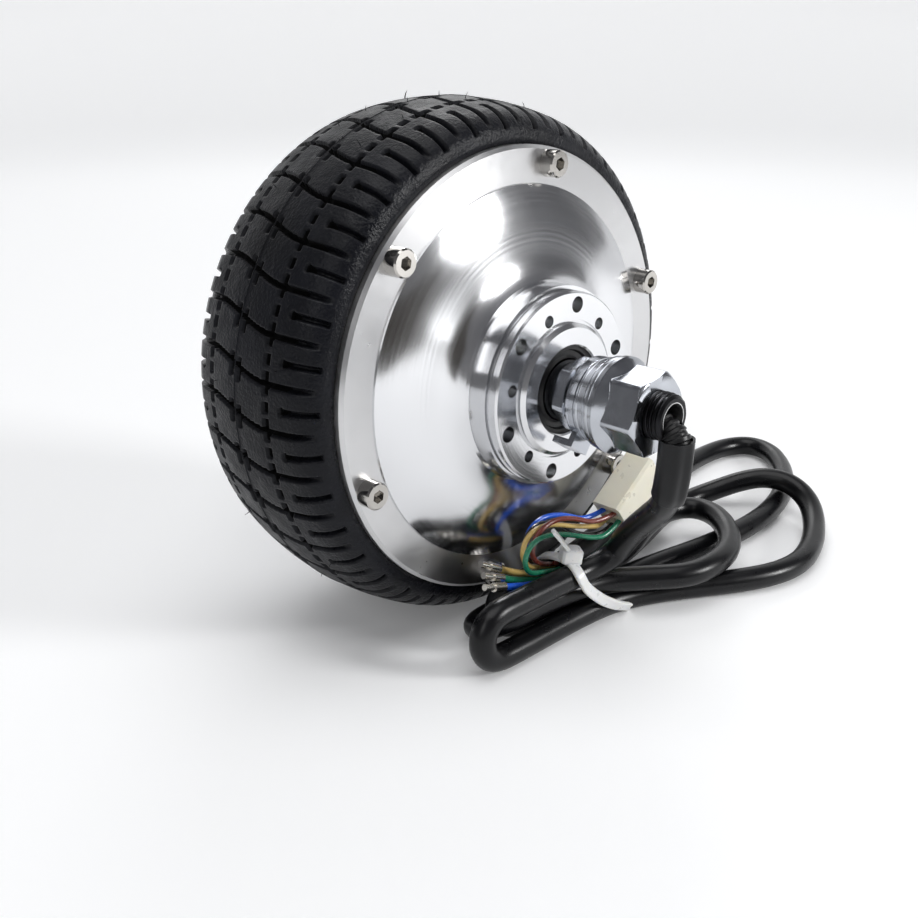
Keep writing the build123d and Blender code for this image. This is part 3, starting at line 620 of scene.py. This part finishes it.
def make_washer(name, near, far, outer_r, side):
    """A stamped washer, rolled at its outer edges."""
    roll, bore_r, face_r = 0.42, 6.1, 8.0
    rolls = [(roll * (1 - sin(t)), roll * (1 - cos(t))) for t in np.linspace(0, pi / 2, 5)]
    rows = [(near, bore_r), (near, face_r)]
    rows += [(near + b, outer_r - a) for a, b in rolls]
    rows += [(far - b, outer_r - a) for a, b in rolls[::-1]]
    rows += [(far, face_r), (far, bore_r)]
    place(turned_mesh(f"{name}_ring", rows, side), "stator", NODE_SLOT[name], name)


def hexagon_radius(across_flats, phase):
    """The radius of a hexagon at each angle, with its corners a little rounded."""
    def radius(angles):
        turn = (angles - radians(phase)) % (pi / 3) - pi / 6
        return np.minimum(across_flats / 2 / np.cos(turn), across_flats / 2 / cos(pi / 6) - 0.25)
    return radius


def make_nut(name, across_flats, hexagon, skirt, side):
    """A flanged nut: a hexagon whose end is chamfered, and a skirt that spreads to the flange."""
    phase, chamfer, bore_r = 11 * -side, 1.3, 6.05
    outline = hexagon_radius(across_flats, phase)
    corner = across_flats / 2 / cos(pi / 6)
    start, end, open_end = hexagon
    inner = min(start, skirt[0][0])
    outer = max(end, skirt[-1][0])
    stations = sorted(set(np.round(np.linspace(inner, outer, 70), 3)) | {p[0] for p in skirt})

    def at(station):
        depth = abs(station - open_end)
        limit = corner - chamfer + (chamfer + 0.4) * min(1, depth) if start <= station <= end else 0
        flare = np.interp(station, [p[0] for p in skirt], [p[1] for p in skirt], left=0, right=0)
        return lambda angles: np.maximum(np.minimum(outline(angles), limit), max(flare, bore_r + 0.55))

    rows = [(inner, bore_r)] + [(station, at(station)) for station in stations] + [(outer, bore_r)]
    place(turned_mesh(f"{name}_turned", rows, side), "stator", NODE_SLOT[name], name)


def make_axle_fittings():
    """The same washers and nuts on both sides, by station and radius in millimetres."""
    for label, side in (("brake", -1), ("back", 1)):
        make_washer(f"{label}_plain_washer", 55.9, 57.4, 10.9, side)
        make_washer(f"{label}_outer_washer", 59.4, 61.4, 11.9, side)
        make_nut(f"{label}_inner_nut", 17.0, (47.4, 51.4, 47.4),
                 [(51.0, 8.6), (53.3, 10.5), (53.5, 10.7), (54.0, 10.7), (54.2, 10.5)], side)
        make_nut(f"{label}_axle_nut", 19.0, (63.5, 73.5, 73.5),
                 [(61.4, 12.0), (61.7, 12.3), (62.8, 12.3), (63.2, 11.9), (65.2, 9.5)], side)


make_axle_fittings()


def make_threads():
    """Thread crests on the axle's two ends past the nuts, broken where the cable's slot cuts them."""
    steps, start, end = 72, 73.125, 77.0
    slot_start, slot_half_angle = 73.6, radians(40)
    crest = ((-0.48, 5.92), (0.0, 6.22), (0.48, 5.92))      # distance along the axle and radius
    points, faces = [], []
    for side in (-1, 1):
        run = []
        for k in range(int((end - start) / THREAD_PITCH * steps) + 2):
            station = start + THREAD_PITCH * k / steps
            a = -side * 2 * pi * k / steps
            in_slot = side == -1 and station > slot_start and cos(a + pi / 2) > cos(slot_half_angle)
            if in_slot or station > end:
                if len(run) > 1:
                    first = len(points)
                    points += [p for section in run for p in section]
                    faces += [tuple(first + v for v in f) for f in grid_faces(len(run), 3, wrap_columns=True)]
                    faces += [(first, first + 1, first + 2), tuple(len(points) - v for v in (1, 2, 3))]
                run = []
                continue
            run.append([(r * cos(a) * MM, side * (station + along) * MM, r * sin(a) * MM)
                        for along, r in crest])
    threads = mesh_object("axle_threads", points, faces, smooth=False)
    place(threads, "stator", NODE_SLOT["axle"])


make_threads()


# ---------------------------------------------------------------- cable parts

def loft(sections):
    """Joins equal rings of points into one skin with closed ends."""
    sides = len(sections[0])
    points = [p for ring in sections for p in ring]
    faces = grid_faces(len(sections), sides, wrap_columns=True)
    faces.append(tuple(range(sides))[::-1])
    faces.append(tuple(range((len(sections) - 1) * sides, len(sections) * sides)))
    return points, faces


def around(centre, side, up, radii):
    """A ring of points about a centre, one for each radius."""
    turns = np.arange(len(radii)) / len(radii) * 2 * pi
    return [centre + r * (cos(a) * side + sin(a) * up) for r, a in zip(radii, turns)]


def make_relief():
    """Ribbed grommet that turns out of the axle's slot and down to the sleeve."""
    bend = [(0, -66, -0.9), (0, -71, -0.95), (0, -74.0, -1.3), (0, -76.5, -2.4), (0, -78.4, -4.2),
            (0, -79.4, -6.2), (0.1, -79.5, -7.8)]
    line = spline_points(bend, 40)
    along = np.concatenate([[0], np.cumsum(np.linalg.norm(np.diff(line, axis=0), axis=1))])
    core_r, rib, rib_pitch, flare = 2.55, 0.45, 1.75, 0.9
    wave = np.clip(0.5 + 1.5 * np.sin(2 * pi * along / rib_pitch), 0, 1)
    ribbed = np.clip((along - 1.0) / 0.6, 0, 1)
    radii = core_r + rib * wave * ribbed + flare * np.clip((along - 10.5) / 3, 0, 1)
    points, faces = loft([around(centre, side, up, [r] * 48)
                          for centre, r, (_, side, up) in zip(line, radii, frames_along(line))])
    relief = mesh_object("ribbed_relief", np.array(points) * MM, faces)
    place(relief, "stator", "black_rubber", "strain_relief")


def make_sleeve():
    """Heat-shrink sleeve, a little flattened and puckered, with plain cut ends."""
    rng = np.random.default_rng(3)
    sides, outer_r, inner_r = 96, 4.22, 3.66
    route = [(0, -79.6, -4.4), (0.35, -79.25, -11.0), (1.5, -77.9, -17.6), (2.6, -76.6, -20.6)]
    line = spline_points(route, 24)
    lobes = [(k, rng.normal(0, 0.05), rng.random() * 2 * pi, rng.normal(0, 0.9)) for k in (2, 3, 5, 7, 9)]
    rings = frames_along(line)
    turns = np.arange(sides) / sides * 2 * pi
    points = []
    for i, (centre, (_, side, up)) in enumerate(zip(line, rings)):
        t = i / (len(line) - 1)
        ripple = sum(size * np.cos(n * turns + phase + twist * t) for n, size, phase, twist in lobes)
        radii = outer_r + ripple * (0.55 + 0.45 * sin(pi * t)) + 0.10 * np.cos(2 * turns)
        points += around(centre, side, up, radii)
    rows = len(line)
    faces = grid_faces(rows, sides, wrap_columns=True)
    for end, lip in ((rows - 1, rows), (0, rows + 1)):
        points += around(line[end], *rings[end][1:], [inner_r] * sides)
        for k in range(sides):
            k2 = (k + 1) % sides
            faces.append((end * sides + k, end * sides + k2, lip * sides + k2, lip * sides + k))
    sleeve = mesh_object("shrink_sleeve", np.array(points) * MM, faces)
    place(sleeve, "stator", "black_plastic", "heat_shrink_sleeve")
    return sleeve


def make_tie():
    """Cable tie: a strap that leans across the hank, a square head, and a cut tail."""
    loop = [(2.6, -45.6, -49.6), (1.3, -49.3, -50.2), (1.0, -51.6, -52.0), (3.0, -52.1, -55.6),
            (6.4, -52.2, -59.0), (11.4, -52.4, -63.0), (17.4, -52.6, -66.6), (23.6, -52.3, -69.4),
            (25.2, -49.4, -70.6), (21.5, -44.0, -70.7), (16.6, -38.0, -70.7), (12.4, -32.4, -70.4),
            (9.6, -29.0, -68.2), (7.0, -29.6, -64.2), (4.4, -31.8, -58.4), (2.6, -34.6, -53.4),
            (2.0, -37.6, -50.8), (2.0, -41.2, -49.6), (2.6, -45.6, -49.6)]
    line = spline_points(loop, 8)
    hank_middle = np.array([10.5, -41.5, -60.4])
    strap = []
    for centre, t in zip(line, np.gradient(line, axis=0)):
        t = t / np.linalg.norm(t)
        out = (centre - hank_middle) * (0.2, 1, 1)
        out -= t * out.dot(t)
        out /= np.linalg.norm(out)
        across = np.cross(t, out)
        strap.append([centre + across * w + out * h for w, h in
                      ((-1.6, -0.4), (-1.6, 0.3), (-1.2, 0.6), (1.2, 0.6), (1.6, 0.3), (1.6, -0.4))])

    head_at = Vector((2.9, -46.2, -47.8))
    lean = Matrix.Rotation(radians(-34), 4, "Z") @ Matrix.Rotation(radians(8), 4, "Y")
    corners = ((-2.6, -1.7), (-2.0, -2.2), (2.0, -2.2), (2.6, -1.7),
               (2.6, 1.7), (2.0, 2.2), (-2.0, 2.2), (-2.6, 1.7))
    head = []
    for z, grow in ((-2.2, -0.4), (-1.8, 0.0), (1.7, 0.0), (2.2, -0.5)):
        size = 1.12 * (1 + grow / 2.8)
        head.append([head_at + lean @ Vector((x * size, y * size, z)) for x, y in corners])

    route = [(2.9, -46.2, -47.4), (0.4, -46.3, -44.3), (-2.4, -46.3, -41.0), (-4.9, -46.2, -38.2)]
    tail_line = spline_points(route, 6)
    tail = []
    for i, (centre, (t, _, _)) in enumerate(zip(tail_line, frames_along(tail_line))):
        across = np.cross(t, (0.25, -0.5, 1.0))
        across /= np.linalg.norm(across)
        out = np.cross(across, t)
        w = 1.3 - 0.4 * (i / (len(tail_line) - 1)) ** 6
        tail.append([centre + across * a * w + out * b for a, b in
                     ((-1, -0.5), (-1, 0.35), (-0.8, 0.6), (0.8, 0.6), (1, 0.35), (1, -0.5))])

    points, faces = [], []
    for part in (strap, head, tail):
        more, skin = loft(part)
        faces += [tuple(len(points) + v for v in f) for f in skin]
        points += more
    tie = mesh_object("nylon_tie", np.array([tuple(p) for p in points]) * MM, faces, smooth=False)
    bevel = tie.modifiers.new("edges", "BEVEL")
    bevel.width, bevel.segments, bevel.limit_method = 0.00018, 2, "ANGLE"
    place(tie, "stator", "white_nylon", "cable_tie")
    return tie


make_relief()
sleeve = make_sleeve()
tie = make_tie()
bpy.context.view_layer.update()
route_length(motor_cable)


# ---------------------------------------------------------------- stage and light

def stage_material(name, colour, glow=0.0):
    """A matt stage colour. A glow brightens it with the distance from the wheel, up to the glow's strength."""
    n = Nodes(name)
    n.set(Base_Color=n.mix(n.noise(3), colour, tuple(0.995 * c for c in colour)), Roughness=0.9)
    n.set(Specular_IOR_Level=0.1)
    if glow:
        distance = n.add("ShaderNodeVectorMath", operation="LENGTH")
        n.join(n.coords, distance.inputs[0])
        share = n.math("DIVIDE", distance.outputs["Value"], 4.0)
        n.set(Emission_Color=colour)
        n.set(Emission_Strength=n.ramp(share, [(0.03, glow * 0.20), (0.30, glow * 0.62), (0.70, glow)]))
    return n.mat


def make_floor():
    """Seamless floor that sweeps up into the backdrop far behind the wheel."""
    floor_z, half_width, facing = -0.0711, 5.0, radians(44)
    away = Vector((sin(facing), cos(facing), 0))
    side = Vector((away.y, -away.x, 0))
    profile = [(-3.0, 0.0), (0.0, 0.0), (1.5, 0.0), (2.0, 0.03), (2.4, 0.12), (2.7, 0.28), (2.9, 0.5),
               (3.02, 0.85), (3.08, 1.4), (3.1, 4.0)]
    points = []
    for out, up in profile:
        for across in (-half_width, half_width):
            p = away * out + side * across
            points.append((p.x, p.y, floor_z + up))
    floor = mesh_object("floor", points, grid_faces(len(profile), 2))
    scene.collection.objects.link(floor)
    floor.data.materials.append(stage_material("floor", (0.88, 0.885, 0.89), 0.60))


def make_card(name, centre, width, height, colour):
    """A flat card that faces the wheel and that only reflections and light see."""
    centre = Vector(centre)
    towards = -centre.normalized()
    side = towards.cross(Vector((0, 0, 1))).normalized()
    up = side.cross(towards)
    corners = ((-1, -1), (1, -1), (1, 1), (-1, 1))
    points = [centre + side * a * width / 2 + up * b * height / 2 for a, b in corners]
    card = mesh_object(name, points, [(0, 1, 2, 3)], smooth=False)
    scene.collection.objects.link(card)
    card.data.materials.append(stage_material(name, colour))
    card.visible_camera = False
    card.visible_shadow = False


def make_light(name, centre, width, height, power):
    """A softbox that faces the wheel."""
    data = bpy.data.lights.new(name, "AREA")
    data.shape = "RECTANGLE"
    data.size, data.size_y = width, height
    data.energy = power
    light = bpy.data.objects.new(name, data)
    light.location = centre
    light.rotation_euler = (-Vector(centre)).to_track_quat("-Z", "Y").to_euler()
    scene.collection.objects.link(light)


def make_world():
    """A dim studio for light and reflections, seen directly as a pale surround."""
    world = bpy.data.worlds.new("world")
    world.use_nodes = True
    tree = world.node_tree
    coords = tree.nodes.new("ShaderNodeTexCoord")
    split = tree.nodes.new("ShaderNodeSeparateXYZ")
    ramp = tree.nodes.new("ShaderNodeValToRGB")
    seen = tree.nodes.new("ShaderNodeLightPath")
    mix = tree.nodes.new("ShaderNodeMix")
    mix.data_type = "RGBA"
    horizon, zenith = ramp.color_ramp.elements
    horizon.position, horizon.color = 0.0, (0.20, 0.20, 0.205, 1)
    zenith.position, zenith.color = 0.8, (0.10, 0.10, 0.11, 1)
    tree.links.new(coords.outputs["Generated"], split.inputs[0])
    tree.links.new(split.outputs["Z"], ramp.inputs["Fac"])
    tree.links.new(seen.outputs["Is Camera Ray"], mix.inputs[0])
    studio, surround = (socket for socket in mix.inputs if socket.type == "RGBA")
    tree.links.new(ramp.outputs["Color"], studio)
    surround.default_value = (0.80, 0.81, 0.82, 1)
    result = next(socket for socket in mix.outputs if socket.type == "RGBA")
    tree.links.new(result, tree.nodes["Background"].inputs["Color"])
    scene.world = world


make_floor()
make_world()
make_light("key", (0.56, -0.99, 0.40), 0.27, 0.30, 9)
make_light("top", (-0.1, -0.1, 1.35), 1.3, 1.3, 11.5)
make_light("left", (-1.25, -0.35, 0.75), 0.5, 0.8, 3)
make_light("rim", (0.9, 0.9, 0.9), 0.6, 0.6, 3)
make_card("dark_right", (0.90, -0.62, 0.20), 0.32, 0.46, (0.10, 0.10, 0.105))
make_card("dark_front", (0.03, -0.60, 0.03), 0.36, 0.20, (0.05, 0.045, 0.04))
scene.view_settings.view_transform = "Standard"
